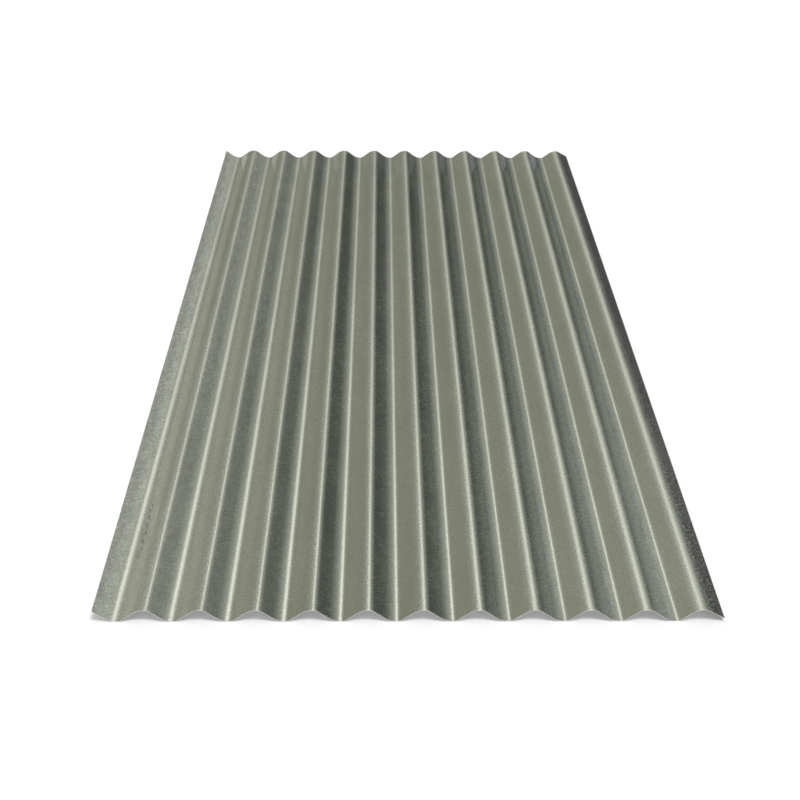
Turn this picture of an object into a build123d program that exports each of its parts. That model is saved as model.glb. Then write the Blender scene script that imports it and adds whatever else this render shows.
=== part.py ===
from build123d import *
import os
from math import atan2, cos, degrees, radians, sin, sqrt

# Corrugated roofing sheet, lying flat on the undersides of its valleys.
# +Y runs along the waves, +X across them, +Z is up, and the origin is the
# bottom centre of the sheet. Lengths are in millimetres, angles in degrees.

# Driving dimensions
wave_count = 11
wave_pitch = 76.2
wave_depth = 18.0
sheet_thickness = 0.5
sheet_length = 2000.0

# Each wave leans a little: it comes up to a crest, and down into a valley, on a
# wide bend, and leaves on a tight one. Radii are taken at mid thickness.
wide_bend_radius = 29.0
tight_bend_radius = 12.0

# The side edge at -X rises up a flank and stops just under the crests. The one
# at +X drops off the last crest at its own slope and stops short of the valleys.
raised_edge_drop = 1.0
dropped_edge_angle = 29.0
dropped_edge_lift = 4.5

# Two bends and a straight flank fill half a pitch and the whole depth. The bends
# get smaller where the wave has no room for them and a short flank.
shortest_flank_share = 0.05
half_pitch = wave_pitch / 2
bend_room = (1 - shortest_flank_share) * (half_pitch**2 + wave_depth**2) / (2 * wave_depth)
bend_fit = min(1, bend_room / (wide_bend_radius + tight_bend_radius))
wide_bend = bend_fit * wide_bend_radius
tight_bend = bend_fit * tight_bend_radius
bend_sum = wide_bend + tight_bend
flank_run = sqrt(half_pitch**2 + wave_depth**2 - 2 * bend_sum * wave_depth)
flank_angle = degrees(atan2(wave_depth - bend_sum, half_pitch) + atan2(bend_sum, flank_run))

# Straight runs out to the two side edges, and how far each edge reaches sideways
flank_sin = sin(radians(flank_angle))
flank_cos = cos(radians(flank_angle))
raised_rise = wave_depth - raised_edge_drop
raised_run = (raised_rise - wide_bend * (1 - flank_cos)) / flank_sin
raised_reach = wide_bend * flank_sin + raised_run * flank_cos

dropped_sin = sin(radians(dropped_edge_angle))
dropped_cos = cos(radians(dropped_edge_angle))
dropped_fall = wave_depth - dropped_edge_lift
dropped_run = (dropped_fall - tight_bend * (1 - dropped_cos)) / dropped_sin
dropped_reach = tight_bend * dropped_sin + dropped_run * dropped_cos

# The cut across the thickness is square to the sheet, so its corners stand out
# past the middle line by a part of half the thickness.
half_thickness = sheet_thickness / 2
first_to_last_bend = wave_count * wave_pitch - half_pitch
overall_width = (
    raised_reach
    + first_to_last_bend
    + dropped_reach
    + half_thickness * (flank_sin + dropped_sin)
)
raised_edge_x = half_thickness * flank_sin - overall_width / 2
raised_edge_z = half_thickness + raised_rise

with BuildPart() as corrugated_sheet:
    with BuildSketch(Plane.XZ) as section:
        with BuildLine() as middle_line:
            fall = PolarLine((raised_edge_x, raised_edge_z), raised_run, angle=-flank_angle)
            for wave in range(wave_count):
                into_valley = JernArc(fall @ 1, fall % 1, wide_bend, flank_angle)
                out_of_valley = JernArc(into_valley @ 1, into_valley % 1, tight_bend, flank_angle)
                rise = PolarLine(out_of_valley @ 1, flank_run, direction=out_of_valley % 1)
                onto_crest = JernArc(rise @ 1, rise % 1, wide_bend, -flank_angle)
                last_wave = wave == wave_count - 1
                fall_angle = dropped_edge_angle if last_wave else flank_angle
                fall_run = dropped_run if last_wave else flank_run
                off_crest = JernArc(onto_crest @ 1, onto_crest % 1, tight_bend, -fall_angle)
                fall = PolarLine(off_crest @ 1, fall_run, direction=off_crest % 1)
        trace(line_width=sheet_thickness)
    extrude(amount=sheet_length / 2, both=True)

corrugated_sheet.part.label = "corrugated_sheet"

os.makedirs("parts", exist_ok=True)
export_step(corrugated_sheet.part, "parts/corrugated_sheet.step")

print("flank angle", round(flank_angle, 2), "straight flank", round(flank_run, 2))
print("overall width", round(overall_width, 2), "overall height", wave_depth + sheet_thickness)
print("developed width", round(corrugated_sheet.part.volume / sheet_length / sheet_thickness, 1))
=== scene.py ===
from math import atan2, cos, pi, radians, sin, sqrt

import bmesh
import bpy
from mathutils import Euler, Matrix, Vector, noise


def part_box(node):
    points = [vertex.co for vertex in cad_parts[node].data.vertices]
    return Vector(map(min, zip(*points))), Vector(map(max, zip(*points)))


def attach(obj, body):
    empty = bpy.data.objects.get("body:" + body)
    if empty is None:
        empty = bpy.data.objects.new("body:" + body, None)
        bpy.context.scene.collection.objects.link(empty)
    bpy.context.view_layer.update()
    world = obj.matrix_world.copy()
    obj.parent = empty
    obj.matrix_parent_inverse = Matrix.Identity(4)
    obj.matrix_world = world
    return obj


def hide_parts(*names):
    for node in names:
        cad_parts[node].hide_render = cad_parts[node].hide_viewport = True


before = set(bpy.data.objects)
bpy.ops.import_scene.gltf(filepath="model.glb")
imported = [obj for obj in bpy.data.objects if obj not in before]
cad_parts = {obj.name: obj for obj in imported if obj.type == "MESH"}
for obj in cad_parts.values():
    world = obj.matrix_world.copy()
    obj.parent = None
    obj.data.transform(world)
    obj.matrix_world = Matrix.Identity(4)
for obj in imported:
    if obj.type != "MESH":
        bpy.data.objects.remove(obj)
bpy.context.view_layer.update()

scene = bpy.context.scene
scene.view_settings.view_transform = "Standard"


# camera, from the photograph's own viewpoint, in metres and degrees
cameraView = {
    "place": (-0.0375, -2.693, 1.2107),
    "tilt": 27.24,    # below the horizon
    "turn": -0.78,
    "roll": 0.39,
    "lens": 68.1,
}


def addCamera():
    lens = bpy.data.cameras.new("viewCamera")
    lens.lens = cameraView["lens"]
    lens.dof.use_dof = False
    camera = bpy.data.objects.new("viewCamera", lens)
    aim = Euler((radians(90 - cameraView["tilt"]), 0, radians(cameraView["turn"])))
    spin = Matrix.Rotation(radians(cameraView["roll"]), 3, "Z")
    camera.rotation_euler = (aim.to_matrix() @ spin).to_euler()
    camera.location = cameraView["place"]
    scene.collection.objects.link(camera)
    scene.camera = camera


addCamera()
print("camera placed")


# the sheet: one strip rolled into leaning waves, in metres and degrees
sheetShape = {
    "waves": 11,
    "pitch": 0.0762,
    "thickness": 0.0005,
    "wideBend": 0.029,          # radii at mid thickness
    "tightBend": 0.012,
    "raisedEdgeDrop": 0.001,    # the -X edge stops this far under the crests
    "droppedEdgeAngle": 29,
    "droppedEdgeLift": 0.0045,  # the +X edge stops this far above the valleys
    "wideSteps": 8,             # facets round each bend and along each flank
    "tightSteps": 6,
    "flankSteps": 2,
    "rows": 96,                 # along the length
    "rimRound": 0.00012,
    "rimCorner": 60,            # an edge that turns more than this is a corner of the rim
    "rimMargin": 0.0008,        # a narrow row of facets holds the shading flat up to the rim
    "wander": 0.0002,
    "wanderSize": (0.35, 0.045),  # along and across
}


def measureSheet():
    # what the driving sizes and the frame's box give: how steep the flanks are,
    # how long each straight run is, and where the waves lie on the flat strip
    shape = sheetShape
    low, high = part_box("corrugated_sheet")
    depth = high.z - low.z - shape["thickness"]
    halfPitch = shape["pitch"] / 2
    bends = shape["wideBend"] + shape["tightBend"]
    flank = sqrt(halfPitch ** 2 + depth ** 2 - 2 * bends * depth)
    slope = atan2(depth - bends, halfPitch) + atan2(bends, flank)
    dropSlope = radians(shape["droppedEdgeAngle"])
    raisedRise = depth - shape["raisedEdgeDrop"]
    raisedRun = (raisedRise - shape["wideBend"] * (1 - cos(slope))) / sin(slope)
    droppedFall = depth - shape["droppedEdgeLift"]
    droppedRun = (droppedFall - shape["tightBend"] * (1 - cos(dropSlope))) / sin(dropSlope)
    return {
        "low": low, "length": high.y - low.y, "slope": slope, "dropSlope": dropSlope,
        "flank": flank, "raisedRise": raisedRise, "raisedRun": raisedRun, "droppedRun": droppedRun,
        "waveRun": 2 * (flank + slope * bends),
        "firstValley": raisedRun + slope * shape["wideBend"],
    }


def walkStraight(bm, tip, heading, run, steps):
    for step in range(steps):
        start = tip
        tip = bmesh.ops.extrude_vert_indiv(bm, verts=[start])["verts"][0]
        tip.co = start.co + run / steps * Vector((cos(heading), 0, sin(heading)))
    return tip


def walkBend(bm, tip, heading, radius, turn, steps):
    side = 1 if turn > 0 else -1
    centre = tip.co + side * radius * Vector((-sin(heading), 0, cos(heading)))
    made = bmesh.ops.spin(bm, geom=[tip], cent=centre, axis=(0, 1, 0), angle=-turn, steps=steps)
    tip = [part for part in made["geom_last"] if isinstance(part, bmesh.types.BMVert)][0]
    return tip, heading + turn


def markAcross(bm):
    # how far across the flat strip each point lay before it was rolled
    across = bm.verts.layers.float.new("across")
    last, here, travelled = None, min(bm.verts, key=lambda v: v.co.x), 0.0
    while here is not None:
        here[across] = travelled
        onward = [e.other_vert(here) for e in here.link_edges if e.other_vert(here) is not last]
        if onward:
            travelled += (onward[0].co - here.co).length
        last, here = here, onward[0] if onward else None


def drawSection(bm, measures):
    shape = sheetShape
    half = shape["thickness"] / 2
    low, slope, raisedRise = measures["low"], measures["slope"], measures["raisedRise"]

    # the upper skin is drawn: half a thickness out from the middle line
    valleyWide, valleyTight = shape["wideBend"] - half, shape["tightBend"] - half
    crestWide, crestTight = shape["wideBend"] + half, shape["tightBend"] + half
    start = Vector((low.x + 2 * half * sin(slope), low.y, low.z + half + raisedRise + half * cos(slope)))
    tip = bm.verts.new(start)
    heading = -slope
    tip = walkStraight(bm, tip, heading, shape["rimMargin"], 1)
    raisedRun = measures["raisedRun"] - shape["rimMargin"]
    tip = walkStraight(bm, tip, heading, raisedRun, 2 * shape["flankSteps"])
    for wave in range(shape["waves"]):
        lastWave = wave == shape["waves"] - 1
        fallSlope = measures["dropSlope"] if lastWave else slope
        fallRun = measures["droppedRun"] - shape["rimMargin"] if lastWave else measures["flank"]
        tip, heading = walkBend(bm, tip, heading, valleyWide, slope, shape["wideSteps"])
        tip, heading = walkBend(bm, tip, heading, valleyTight, slope, shape["tightSteps"])
        tip = walkStraight(bm, tip, heading, measures["flank"], shape["flankSteps"])
        tip, heading = walkBend(bm, tip, heading, crestWide, -slope, shape["wideSteps"])
        tip, heading = walkBend(bm, tip, heading, crestTight, -fallSlope, shape["tightSteps"])
        tip = walkStraight(bm, tip, heading, fallRun, shape["flankSteps"])
    walkStraight(bm, tip, heading, shape["rimMargin"], 1)
    bmesh.ops.remove_doubles(bm, verts=bm.verts, dist=1e-6)
    markAcross(bm)


def pullOut(bm, length):
    profile = list(bm.edges)
    made = bmesh.ops.extrude_edge_only(bm, edges=profile)
    far = [part for part in made["geom"] if isinstance(part, bmesh.types.BMVert)]
    bmesh.ops.translate(bm, verts=far, vec=(0, length, 0))
    lengthwise = [e for e in bm.edges if abs(e.verts[0].co.y - e.verts[1].co.y) > length / 2]
    bmesh.ops.subdivide_edges(bm, edges=lengthwise, cuts=sheetShape["rows"] - 1, use_grid_fill=True)
    start = min(vert.co.y for vert in bm.verts)
    for cut in (start + sheetShape["rimMargin"], start + length - sheetShape["rimMargin"]):
        everything = bm.verts[:] + bm.edges[:] + bm.faces[:]
        bmesh.ops.bisect_plane(bm, geom=everything, plane_co=(0, cut, 0), plane_no=(0, 1, 0))


def layFlat(bm, low):
    # UV map of the flat strip before it was rolled: U along the length, V across, both in metres
    across = bm.verts.layers.float["across"]
    strip = bm.loops.layers.uv.new("flatStrip")
    for face in bm.faces:
        for corner in face.loops:
            corner[strip].uv = (corner.vert.co.y - low.y, corner.vert[across])


def dressRim(bm):
    # the sheared rim is bare metal, and its corners are rubbed round
    widest = 1.1 * sheetShape["thickness"]  # no other face has an edge this short
    rim = {face for face in bm.faces if min(edge.calc_length() for edge in face.edges) < widest}
    sharp = radians(sheetShape["rimCorner"])
    corners = [edge for edge in bm.edges
               if rim.intersection(edge.link_faces) and edge.calc_face_angle() > sharp]
    made = bmesh.ops.bevel(bm, geom=corners, offset=sheetShape["rimRound"], offset_type="OFFSET",
                           segments=2, profile=0.5, affect="EDGES", material=-1)
    for face in bm.faces:
        face.smooth = True
    bare = [face for face in bm.faces if min(edge.calc_length() for edge in face.edges) < widest]
    for face in made["faces"] + bare:
        face.material_index = 1
        face.smooth = False


def rollUneven(bm):
    # rolls never press quite evenly, so the waves wander by a part of a millimetre
    across = bm.verts.layers.float["across"]
    alongSize, acrossSize = sheetShape["wanderSize"]
    for vert in bm.verts:
        spot = Vector((vert.co.y / alongSize, vert[across] / acrossSize, 0))
        vert.co.z += sheetShape["wander"] * noise.noise(spot)


def makeObject(bm, name):
    mesh = bpy.data.meshes.new(name)
    bm.to_mesh(mesh)
    bm.free()
    made = bpy.data.objects.new(name, mesh)
    scene.collection.objects.link(made)
    return made


def makeSheet():
    measures = measureSheet()
    bm = bmesh.new()
    drawSection(bm, measures)
    pullOut(bm, measures["length"])
    bmesh.ops.recalc_face_normals(bm, faces=bm.faces)
    if sum(face.normal.z for face in bm.faces) < 0:
        bmesh.ops.reverse_faces(bm, faces=bm.faces)
    bmesh.ops.solidify(bm, geom=bm.faces[:], thickness=sheetShape["thickness"])
    bmesh.ops.recalc_face_normals(bm, faces=bm.faces)
    rollUneven(bm)
    layFlat(bm, measures["low"])
    dressRim(bm)
    print("verts", len(bm.verts), "faces", len(bm.faces))
    return makeObject(bm, "sheet")


# zinc coating: bright metal with a fine grain that runs across the waves
# sizes and places are along and across the flat strip, in metres, and a pair of pairs is a fade:
# one place with its share, then another
zincFinish = {
    "dark": (0.50, 0.51, 0.47),
    "bright": (0.74, 0.75, 0.69),
    "roughness": 0.205,
    "anisotropy": 0.55,            # the shine spreads along the length
    "grainSize": (0.0013, 0.006),
    "grainTurn": 28,               # degrees off the line straight across
    "grainTone": 0.34,
    "grainRoughness": 0.22,
    "beadSize": (0.0012, 0.0026),  # a finer grain that breaks up the bright lines
    "beadTilt": 0.13,
    "beadRoughness": 0.30,
    "streakSize": (1.5, 0.0035),   # rolling marks
    "streakTone": 0.25,
    "mottleSize": (0.16, 0.05),
    "mottleTone": 0.35,
    "mottleRoughness": 0.08,
    "scratchSize": (0.0012, 0.017),
    "scratchTilts": (24, 38, -32),
    "scratchFrom": (0.21, 0.31),   # only the peaks of the noise are scratches
    "scratchPatchSize": (0.11, 0.07),
    "scratchPatches": ((-0.1, 0.25), (0.12, 1.0)),  # from the low to the high values of a coarser noise
    "scratchShare": 0.10,
    "scratchRoughness": 0.11,
    "scratchEnd": (0.9, 1.5),      # they thin out between here, along the length
    "crestRub": (0.0160, 0.0184),  # heights between which the crests are rubbed dull
    "crestTone": 0.25,
    "crestBeads": 4.5,
    "crestRoughness": 0.04,
    "dullEdge": (0.020, 0.036),    # the raised side edge is duller, and that ends between here
    "dullShare": 0.50,
    "dullTone": 1.9,
    "patchSize": (0.035, 0.011),
    "patchTone": 0.5,
    "hazeLeft": (0.03, 0.32),      # a thin haze that fades out from each side inwards
    "hazeRight": (0.945, 0.48),
    "hazeShares": (0.25, 0.11),
    "hazeGrows": ((0.3, 1.0), (1.6, 1.50)),   # the left one gets thicker along the length
    "hazePlace": (0.49, 0.56, 0.80, 0.98),    # it lies here on each wave, by shares from valley to valley
    "hazeSpread": ((0.0, 0.85), (1.4, 0.0)),  # and spreads to the rest of the wave near this end
    "hazeEnd": (0.2, 1.0),         # the right one thins out between here, along the length
    "rightRoughness": 0.055,
    "hazeGrain": 2.4,
    "hazePatches": 0.9,
    "bloomPlace": (0.77, 0.86, 0.90, 0.99),   # pale bloom on the right, by shares of a wave too
    "bloomShare": 0.19,
    "bloomEnd": (0.3, 1.6),
    "paintedShadePlace": (0.54, 0.66, 0.80, 0.94),    # painted shade: the falling flanks on the right get a darker, cooler colour
    "paintedShadeTint": (0.79, 0.845, 0.925),
    "lipStart": (0.945, 0.950),    # the lip past here has no haze, but paler grain
    "lipShare": 0.16,
    "lipEnd": ((0.3, 1.0), (1.9, 0.2)),
    "lipGrainSize": (0.006, 0.0035),
    "lipGrain": 11,
    "markRise": 0.14,              # a mark fades in over this much of its own grain's range
    "markCore": 0.5,               # it is full up to this share of its reach
}
# marks: middle and reach along and across, size of their own grain, the part of its range
# that marks at all, and how much lighter or darker they are; the first three are rubbed marks
marksAndPaintedShade = [
    {"middle": (0.236, 0.0475), "reach": (0.10, 0.0045),
     "grain": (0.011, 0.004), "from": -0.02, "tone": -0.6},
    {"middle": (0.235, 0.0600), "reach": (0.055, 0.0035),
     "grain": (0.09, 0.004), "from": -0.02, "tone": 0.30},
    {"middle": (0.620, 0.0440), "reach": (0.16, 0.0030),
     "grain": (0.020, 0.004), "from": -0.02, "tone": -0.16},
    # painted shade: these two darken the dropped lip on the +X edge, more so towards the far end
    {"middle": (1.000, 0.9730), "reach": (3.0, 0.0300),
     "grain": (0.006, 0.004), "from": -0.5, "tone": -0.55},
    {"middle": (2.200, 0.9730), "reach": (1.9, 0.0300),
     "grain": (0.006, 0.004), "from": -0.5, "tone": -0.24},
    # this one makes the strip along the raised -X edge darker over the whole length
    {"middle": (1.000, 0.0000), "reach": (3.0, 0.0180),
     "grain": (0.045, 0.010), "from": -0.5, "tone": -0.12},
]


def addNode(tree, kind, **settings):
    node = tree.nodes.new("ShaderNode" + kind)
    for name, value in settings.items():
        setattr(node, name, value)
    return node


def setInputs(node, values):
    for name, value in values.items():
        node.inputs[name].default_value = value


def newMaterial(name):
    material = bpy.data.materials.new(name)
    material.use_nodes = True
    tree = material.node_tree
    tree.nodes.clear()
    output = addNode(tree, "OutputMaterial")
    return material, tree, output.inputs["Surface"]


def addMath(tree, operation, *values):
    node = addNode(tree, "Math", operation=operation)
    for socket, value in zip(node.inputs, values):
        if isinstance(value, (int, float)):
            socket.default_value = value
        else:
            tree.links.new(value, socket)
    return node.outputs[0]


def addRange(tree, value, fromLow, fromHigh, toLow, toHigh, kind="LINEAR"):
    node = addNode(tree, "MapRange", interpolation_type=kind)
    for socket, number in zip(node.inputs[1:5], (fromLow, fromHigh, toLow, toHigh)):
        socket.default_value = number
    tree.links.new(value, node.inputs[0])
    return node.outputs[0]


def addFade(tree, value, ends):
    (start, startShare), (end, endShare) = ends
    return addRange(tree, value, start, end, startShare, endShare)


def addAxes(tree, vector):
    split = addNode(tree, "SeparateXYZ")
    tree.links.new(vector, split.inputs[0])
    return split.outputs


def addNoise(tree, vector, size, detail=2, roughness=0.6, tilt=0, seed=0):
    # a noise about zero
    place = addNode(tree, "Mapping", vector_type="TEXTURE")
    setInputs(place, {"Location": (seed, seed, 0), "Rotation": (0, 0, radians(tilt)), "Scale": (*size, 1)})
    tree.links.new(vector, place.inputs["Vector"])
    pattern = addNode(tree, "TexNoise", noise_dimensions="2D")
    setInputs(pattern, {"Scale": 1, "Detail": detail, "Roughness": roughness})
    tree.links.new(place.outputs[0], pattern.inputs["Vector"])
    return addMath(tree, "SUBTRACT", pattern.outputs[0], 0.5)


def addScratches(tree, strip, along):
    finish = zincFinish
    lines = 0
    for index, tilt in enumerate(finish["scratchTilts"]):
        thin = addNoise(tree, strip, finish["scratchSize"], detail=0, tilt=tilt, seed=3 + index)
        coarse = addNoise(tree, strip, finish["scratchPatchSize"], detail=1, roughness=0.5, seed=20 + index)
        line = addRange(tree, thin, *finish["scratchFrom"], 0, 1)
        line = addMath(tree, "MULTIPLY", line, addFade(tree, coarse, finish["scratchPatches"]))
        lines = addMath(tree, "MAXIMUM", line, lines)
    return addMath(tree, "MULTIPLY", lines, addRange(tree, along, *finish["scratchEnd"], 1, 0))


def addWear(tree):
    # the places and patterns that the colour, the roughness and the haze read
    finish = zincFinish
    strip = addNode(tree, "UVMap", uv_map="flatStrip").outputs[0]
    flat = addAxes(tree, strip)
    along, across = flat["X"], flat["Y"]
    height = addAxes(tree, addNode(tree, "TexCoord").outputs["Object"])["Z"]
    right = addMath(tree, "MULTIPLY", addRange(tree, across, *finish["hazeRight"], 1, 0),
                    addRange(tree, across, *finish["lipStart"], 1, 0))
    return {
        "strip": strip, "along": along, "across": across, "right": right,
        "grain": addNoise(tree, strip, finish["grainSize"], detail=3, tilt=finish["grainTurn"]),
        "bead": addNoise(tree, strip, finish["beadSize"], tilt=finish["grainTurn"], seed=7),
        "streak": addNoise(tree, strip, finish["streakSize"], seed=4),
        "mottle": addNoise(tree, strip, finish["mottleSize"], detail=4, roughness=0.55, seed=9),
        "patch": addNoise(tree, strip, finish["patchSize"], detail=3, roughness=0.55, seed=14),
        "scratch": addScratches(tree, strip, along),
        "crest": addRange(tree, height, *finish["crestRub"], 0, 1),
        "edge": addRange(tree, across, *finish["dullEdge"], 1, 0, "SMOOTHSTEP"),
    }


def addMark(tree, wear, mark, seed):
    spots = addNoise(tree, wear["strip"], mark["grain"], seed=seed)
    shade = addRange(tree, spots, mark["from"], mark["from"] + zincFinish["markRise"], 0, mark["tone"])
    for place, middle, reach in zip((wear["along"], wear["across"]), mark["middle"], mark["reach"]):
        away = addMath(tree, "ABSOLUTE", addMath(tree, "SUBTRACT", place, middle))
        inside = addRange(tree, away, reach * zincFinish["markCore"], reach, 1, 0, "SMOOTHSTEP")
        shade = addMath(tree, "MULTIPLY", shade, inside)
    return shade


def addFlankShare(tree, across, places):
    # 1 on one part of every wave, by shares of a wave from valley to valley, and 0 on the rest
    measures = measureSheet()
    waves = addMath(tree, "SUBTRACT", across, measures["firstValley"])
    waves = addMath(tree, "DIVIDE", waves, measures["waveRun"])
    place = addMath(tree, "FRACT", waves)
    start, full, fading, end = places
    return addMath(tree, "MULTIPLY", addRange(tree, place, start, full, 0, 1, "SMOOTHSTEP"),
                   addRange(tree, place, fading, end, 1, 0, "SMOOTHSTEP"))


def addColour(tree, wear):
    finish = zincFinish
    tone = 0.5
    for name in ("grain", "streak", "mottle"):
        tone = addMath(tree, "MULTIPLY_ADD", wear[name], finish[name + "Tone"], tone)
    rubbed = addMath(tree, "MULTIPLY_ADD", wear["bead"], finish["crestBeads"], -finish["crestTone"])
    tone = addMath(tree, "MULTIPLY_ADD", wear["crest"], rubbed, tone)
    ramp = addNode(tree, "ValToRGB")
    for stop, name in zip(ramp.color_ramp.elements, ("dark", "bright")):
        stop.color = (*finish[name], 1)
    tree.links.new(tone, ramp.inputs[0])

    uneven = addMath(tree, "MULTIPLY", wear["grain"], finish["dullTone"])
    uneven = addMath(tree, "MULTIPLY_ADD", wear["patch"], finish["patchTone"], uneven)
    shade = addMath(tree, "MULTIPLY_ADD", wear["edge"], uneven, 1)
    for index, mark in enumerate(marksAndPaintedShade):
        shade = addMath(tree, "ADD", addMark(tree, wear, mark, seed=30 + index), shade)
    marked = addNode(tree, "VectorMath", operation="SCALE")
    tree.links.new(ramp.outputs[0], marked.inputs[0])
    tree.links.new(shade, marked.inputs["Scale"])

    # painted shade: the falling flanks on the right side are darkened and tinted blue in their colour
    # a Mix node's inputs 6 and 7 and output 2 are its colours
    paintedShadeMix = addNode(tree, "Mix", data_type="RGBA", blend_type="MULTIPLY")
    falling = addFlankShare(tree, wear["across"], finish["paintedShadePlace"])
    tree.links.new(addMath(tree, "MULTIPLY", wear["right"], falling), paintedShadeMix.inputs[0])
    tree.links.new(marked.outputs[0], paintedShadeMix.inputs[6])
    paintedShadeMix.inputs[7].default_value = (*finish["paintedShadeTint"], 1)
    return paintedShadeMix.outputs[2]


def addRoughness(tree, wear):
    rough = zincFinish["roughness"]
    for name in ("grain", "bead", "mottle", "crest", "right", "scratch"):
        rough = addMath(tree, "MULTIPLY_ADD", wear[name], zincFinish[name + "Roughness"], rough)
    return rough


def addHaze(tree, wear):
    finish = zincFinish
    along, across = wear["along"], wear["across"]
    leftShare, rightShare = finish["hazeShares"]
    left = addMath(tree, "MULTIPLY", addRange(tree, across, *finish["hazeLeft"], leftShare, 0),
                   addFade(tree, along, finish["hazeGrows"]))
    spread = addMath(tree, "MAXIMUM", addFlankShare(tree, across, finish["hazePlace"]),
                     addFade(tree, along, finish["hazeSpread"]))
    left = addMath(tree, "MULTIPLY", left, spread)
    bloom = addMath(tree, "MULTIPLY", addFlankShare(tree, across, finish["bloomPlace"]),
                    addRange(tree, along, *finish["bloomEnd"], finish["bloomShare"], 0))
    right = addMath(tree, "ADD", bloom, addRange(tree, along, *finish["hazeEnd"], rightShare, 0))
    haze = addMath(tree, "MULTIPLY_ADD", right, wear["right"], left)
    thickness = addMath(tree, "MULTIPLY_ADD", wear["grain"], finish["hazeGrain"], 1)
    thickness = addMath(tree, "MULTIPLY_ADD", wear["patch"], finish["hazePatches"], thickness)
    return addMath(tree, "MULTIPLY", haze, thickness)


def addLipGrain(tree, wear):
    finish = zincFinish
    speckle = addNoise(tree, wear["strip"], finish["lipGrainSize"], detail=3, roughness=0.7,
                       tilt=finish["grainTurn"], seed=17)
    speckle = addMath(tree, "MULTIPLY_ADD", speckle, finish["lipGrain"], 1)
    onLip = addRange(tree, wear["across"], *finish["lipStart"], 0, finish["lipShare"])
    speckle = addMath(tree, "MULTIPLY", speckle, onLip)
    speckle = addMath(tree, "MULTIPLY", speckle, addFade(tree, wear["along"], finish["lipEnd"]))
    return addMath(tree, "MAXIMUM", speckle, 0)


def addDullness(tree, wear):
    # the share of the surface that doesn't mirror like metal
    finish = zincFinish
    edge = addMath(tree, "MULTIPLY", wear["edge"], finish["dullShare"])
    dull = addMath(tree, "MAXIMUM", edge, addHaze(tree, wear))
    dull = addMath(tree, "ADD", dull, addLipGrain(tree, wear))
    return addMath(tree, "MULTIPLY_ADD", wear["scratch"], finish["scratchShare"], dull)


def addLean(tree, wear):
    # the beads lean the shading to and fro across the waves; 0.5 is upright
    lean = addNode(tree, "CombineXYZ")
    setInputs(lean, {"X": 0.5, "Z": 1.0})
    swing = addMath(tree, "MULTIPLY_ADD", wear["bead"], zincFinish["beadTilt"], 0.5)
    tree.links.new(swing, lean.inputs["Y"])
    facing = addNode(tree, "NormalMap", space="TANGENT", uv_map="flatStrip")
    tree.links.new(lean.outputs[0], facing.inputs["Color"])
    return facing.outputs[0]


def makeZinc():
    material, tree, face = newMaterial("zincCoating")
    surface = addNode(tree, "BsdfPrincipled")
    tree.links.new(surface.outputs["BSDF"], face)
    wear = addWear(tree)
    tree.links.new(addColour(tree, wear), surface.inputs["Base Color"])
    tree.links.new(addRoughness(tree, wear), surface.inputs["Roughness"])
    tree.links.new(addMath(tree, "SUBTRACT", 1, addDullness(tree, wear)), surface.inputs["Metallic"])
    tree.links.new(addLean(tree, wear), surface.inputs["Normal"])
    setInputs(surface, {"Anisotropic": zincFinish["anisotropy"]})
    lengthways = addNode(tree, "Tangent", direction_type="UV_MAP", uv_map="flatStrip")
    tree.links.new(lengthways.outputs[0], surface.inputs["Tangent"])
    return material


# sheared rim: bare steel and smeared zinc, brighter and bluer than the faces; this near-white colour is
# partly a painted highlight of the cut edge catching the light
rimFinishAndHighlight = {"colour": (0.88, 0.92, 0.96), "metallic": 0.1, "roughness": 0.4}


def makeRim():
    material, tree, face = newMaterial("shearedRim")
    surface = addNode(tree, "BsdfPrincipled")
    tree.links.new(surface.outputs["BSDF"], face)
    setInputs(surface, {"Base Color": (*rimFinishAndHighlight["colour"], 1), "Metallic": rimFinishAndHighlight["metallic"],
                        "Roughness": rimFinishAndHighlight["roughness"]})
    return material


# studio: a pale floor, a white world, and a light tent that the camera and the sunlight pass through
studio = {
    "floorRadius": 30,
    "floorDrop": 0.0003,           # clear of the lowest valley
    "floorColour": (0.918, 0.90, 0.965),
    "floorGlow": 0.14,
    "tentRadius": 40,
    "tentStrength": 1.3,
    "tentFade": (0.87, 0.95),      # the tent's light fades between these shares of the way along +Y
    "stripColour": (0.985, 1.0, 0.92),
    "stripStrength": 1.13,
    "stripFade": ((0.80, 1.22), (0.957, 0.0)),  # share of the strip's light by how far along +Y it lies
    "sunStrength": 1.6,
    "sunAngle": 18,
    "sunPlace": (0.25, -0.35, 1.0),
}
# brightness and tint of the tent, from the -X horizon over the top to the +X horizon, in degrees from
# the zenith: bright overhead, dimmer to the -X side, and dark with a paler line near the +X horizon
tentLevels = [(-90, 0.285), (-72, 0.235), (-54, 0.243), (-38, 0.243), (-20, 0.30), (-4, 0.325),
              (11, 0.33), (20, 0.30), (30, 0.24), (38, 0.20), (46, 0.162), (57, 0.128),
              (61, 0.095), (66, 0.055), (71, 0.065), (77, 0.06), (82, 0.025), (90, 0.011)]
tentTints = [(-90, (0.99, 1.0, 0.82)), (-72, (1.0, 0.985, 0.735)), (-36, (0.955, 1.0, 0.86)),
             (5, (0.97, 1.0, 0.88)), (30, (0.93, 1.0, 0.87)), (60, (0.92, 1.0, 0.87)),
             (90, (0.89, 1.0, 1.0))]
# how much of the tent's light is gone at its far end, round the same way
fadeBands = [(-90, 0.20), (-70, 0.18), (-52, 0.0), (-30, 0.06), (0, 0.10), (9, 0.12),
             (15, 0.42), (25, 0.42), (36, 0.12), (46, 0.12), (60, 0.40), (90, 0.50)]
# the bright strip along the top of the tent, in degrees from the zenith
stripBands = [(-15, 0), (-8, 0.33), (-3.5, 0.86), (4, 0.9), (8.5, 0.28), (14, 0)]


def addTogether(tree, first, second):
    both = addNode(tree, "AddShader")
    for socket, shader in zip(both.inputs, (first, second)):
        tree.links.new(shader.outputs[0], socket)
    return both.outputs[0]


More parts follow.
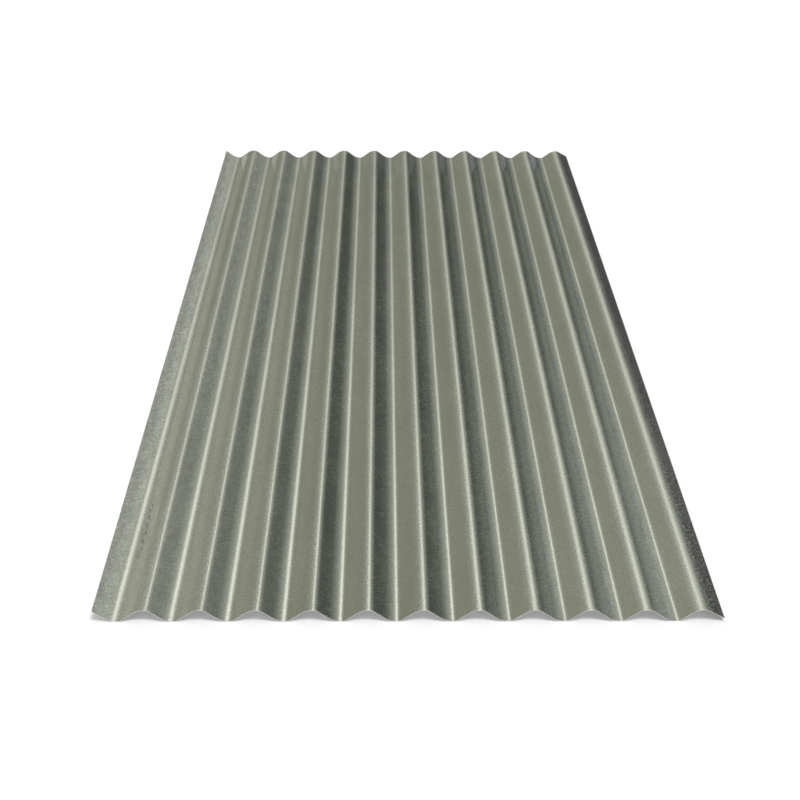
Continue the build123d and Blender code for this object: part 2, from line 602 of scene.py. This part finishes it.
def addFloor():
    bm = bmesh.new()
    bmesh.ops.create_circle(bm, cap_ends=True, radius=studio["floorRadius"], segments=96)
    floor = makeObject(bm, "floor")
    floor.location.z = -studio["floorDrop"]
    material, tree, face = newMaterial("paleFloor")
    matt = addNode(tree, "BsdfDiffuse")
    setInputs(matt, {"Color": (*studio["floorColour"], 1)})
    glow = addNode(tree, "Emission")
    path = addNode(tree, "LightPath")
    seen = addMath(tree, "MAXIMUM", path.outputs["Is Camera Ray"], path.outputs["Is Glossy Ray"])
    seen = addMath(tree, "MAXIMUM", seen, path.outputs["Is Transmission Ray"])
    tree.links.new(addMath(tree, "MULTIPLY", seen, studio["floorGlow"]), glow.inputs["Strength"])
    tree.links.new(addTogether(tree, matt, glow), face)
    floor.data.materials.append(material)


def addBands(tree, value, bands):
    ramp = addNode(tree, "ValToRGB")
    stops = ramp.color_ramp.elements
    stops.remove(stops[-1])
    for index, (degrees, colour) in enumerate(bands):
        place = (degrees + 90) / 180
        stop = stops[0] if index == 0 else stops.new(place)
        stop.position = place
        stop.color = (*colour, 1) if isinstance(colour, tuple) else (colour, colour, colour, 1)
    ramp.color_ramp.interpolation = "B_SPLINE"
    tree.links.new(value, ramp.inputs[0])
    return ramp.outputs[0]


def shapeTent():
    bm = bmesh.new()
    bmesh.ops.create_uvsphere(bm, u_segments=64, v_segments=32, radius=studio["tentRadius"])
    everything = bm.verts[:] + bm.edges[:] + bm.faces[:]
    bmesh.ops.bisect_plane(bm, geom=everything, plane_no=(0, 0, 1), clear_inner=True)
    bmesh.ops.reverse_faces(bm, faces=bm.faces)
    return makeObject(bm, "lightTent")


def addTent():
    tent = shapeTent()
    tent.visible_camera = tent.visible_shadow = False
    material, tree, face = newMaterial("tentLight")
    sides, ahead, up = addAxes(tree, addNode(tree, "TexCoord").outputs["Object"])
    turned = addRange(tree, addMath(tree, "ARCTAN2", sides, up), -pi / 2, pi / 2, 0, 1)
    reach = addMath(tree, "DIVIDE", ahead, studio["tentRadius"])

    gone = addMath(tree, "MULTIPLY", addRange(tree, reach, *studio["tentFade"], 0, 1),
                   addBands(tree, turned, fadeBands))
    kept = addMath(tree, "SUBTRACT", 1, gone)
    level = addMath(tree, "MULTIPLY", addBands(tree, turned, tentLevels), studio["tentStrength"])
    cover = addNode(tree, "Emission")
    tree.links.new(addMath(tree, "MULTIPLY", kept, level), cover.inputs["Strength"])
    tree.links.new(addBands(tree, turned, tentTints), cover.inputs["Color"])

    strip = addMath(tree, "MULTIPLY", addBands(tree, turned, stripBands),
                    addFade(tree, reach, studio["stripFade"]))
    slit = addNode(tree, "Emission")
    setInputs(slit, {"Color": (*studio["stripColour"], 1)})
    tree.links.new(addMath(tree, "MULTIPLY", strip, studio["stripStrength"]), slit.inputs["Strength"])

    tree.links.new(addTogether(tree, cover, slit), face)
    material.cycles.emission_sampling = "NONE"
    tent.data.materials.append(material)


def addSun():
    lamp = bpy.data.lights.new("softSun", "SUN")
    lamp.energy = studio["sunStrength"]
    lamp.angle = radians(studio["sunAngle"])
    sun = bpy.data.objects.new("softSun", lamp)
    sun.location = studio["sunPlace"]
    sun.rotation_euler = (-sun.location).to_track_quat("-Z", "Y").to_euler()
    scene.collection.objects.link(sun)


def addWorld():
    world = bpy.data.worlds.new("white")
    scene.world = world
    world.use_nodes = True
    setInputs(world.node_tree.nodes["Background"], {"Color": (1, 1, 1, 1), "Strength": 1})


sheet = makeSheet()
sheet.data.materials.append(makeZinc())
sheet.data.materials.append(makeRim())
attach(sheet, "root")
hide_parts("corrugated_sheet")
print("sheet rolled")

addFloor()
addTent()
addSun()
addWorld()
print("studio lit")
